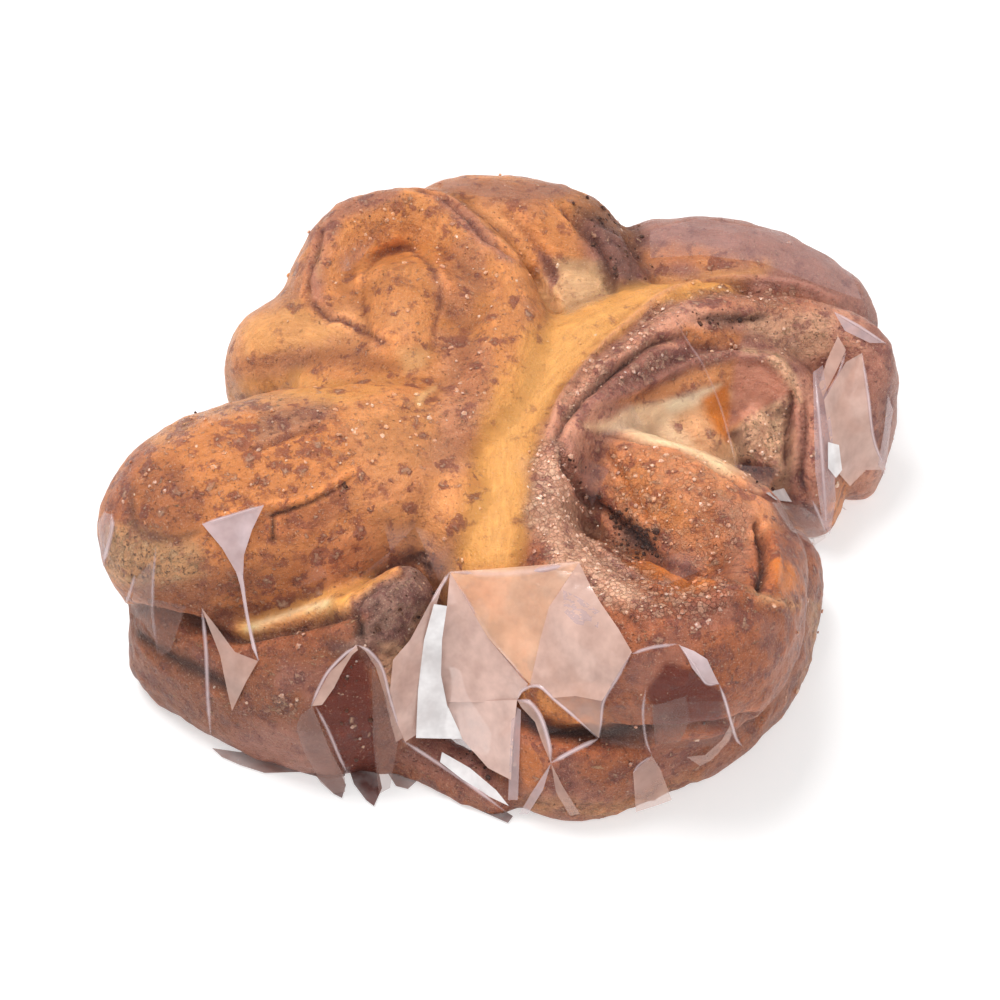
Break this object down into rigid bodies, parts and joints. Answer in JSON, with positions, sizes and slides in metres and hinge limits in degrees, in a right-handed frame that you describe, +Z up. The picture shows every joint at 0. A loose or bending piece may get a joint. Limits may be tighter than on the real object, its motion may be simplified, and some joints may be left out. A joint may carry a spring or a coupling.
{
  "type": "cinnamon bun",
  "caption": "Large folded cinnamon bun with a curled ear and a cupped ear either side of a pressed strip, in a tight clear wrap.",
  "frame": {"origin": "on the table under the middle of the bun", "axes": "+X to the bun's right with the curled ear on the left, +Y to its back, +Z up"},
  "size_m": [0.125, 0.115, 0.043],
  "materials": {
    "crust": "baked, sugared and mottled",
    "sugar": "coarse, half melted",
    "burnt_filling": "rough, charred",
    "clear_film": "thin, glossy, slightly milky where it folds"
  },
  "bodies": {
    "root": {"wrapped_bun": "crust"}
  },
  "joints": []
}
